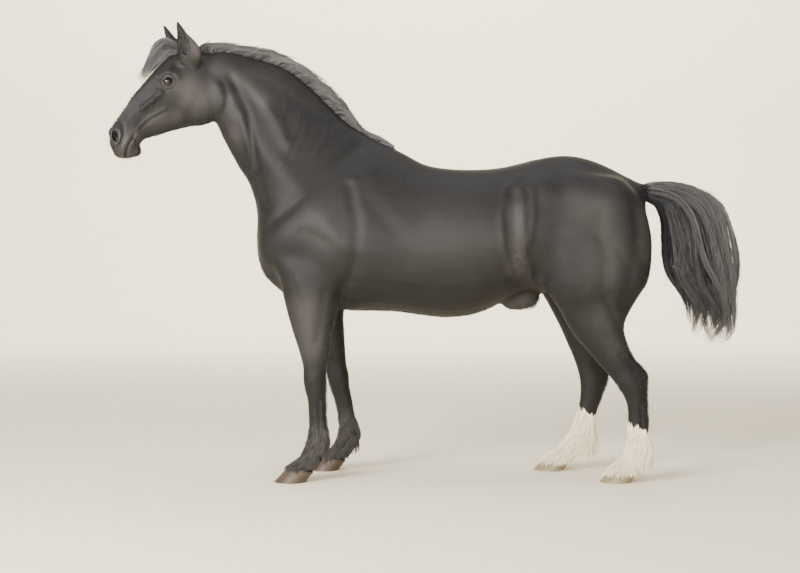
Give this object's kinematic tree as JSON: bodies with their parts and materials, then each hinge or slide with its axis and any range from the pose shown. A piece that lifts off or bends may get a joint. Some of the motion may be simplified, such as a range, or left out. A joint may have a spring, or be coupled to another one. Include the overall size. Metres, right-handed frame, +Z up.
{
  "type": "clydesdale horse",
  "caption": "Life-size still model of a standing dark draught stallion with a combed mane, full tail, feathered fetlocks, a white blaze and white hind socks.",
  "frame": {"origin": "middle of the footprint of the whole horse's box, on the ground", "axes": "-X is the way the horse faces, -Y its left side, +Z up"},
  "size_m": [3.3178, 0.6852, 2.379],
  "materials": {
    "coat": "short satin coat, sepia black",
    "hair": "long wavy hair, grey black",
    "white_feather": "creamy white coat and long silky hair",
    "pale_horn": "yellowish horn",
    "dark_horn": "brown horn",
    "eye": "wet and dark"
  },
  "bodies": {
    "root": {"head": "coat", "neck": "coat", "trunk": "coat", "tail": "hair", "ear_left": "coat", "ear_right": "coat", "eye_left": "eye", "eye_right": "eye", "hindleg_left": "coat", "lower_hindleg_left": "white_feather", "hoof_hindleg_left": "pale_horn", "hindleg_right": "coat", "lower_hindleg_right": "white_feather", "hoof_hindleg_right": "pale_horn", "foreleg_left": "coat", "lower_foreleg_left": "coat", "hoof_foreleg_left": "dark_horn", "foreleg_right": "coat", "lower_foreleg_right": "coat", "hoof_foreleg_right": "dark_horn"}
  },
  "joints": []
}
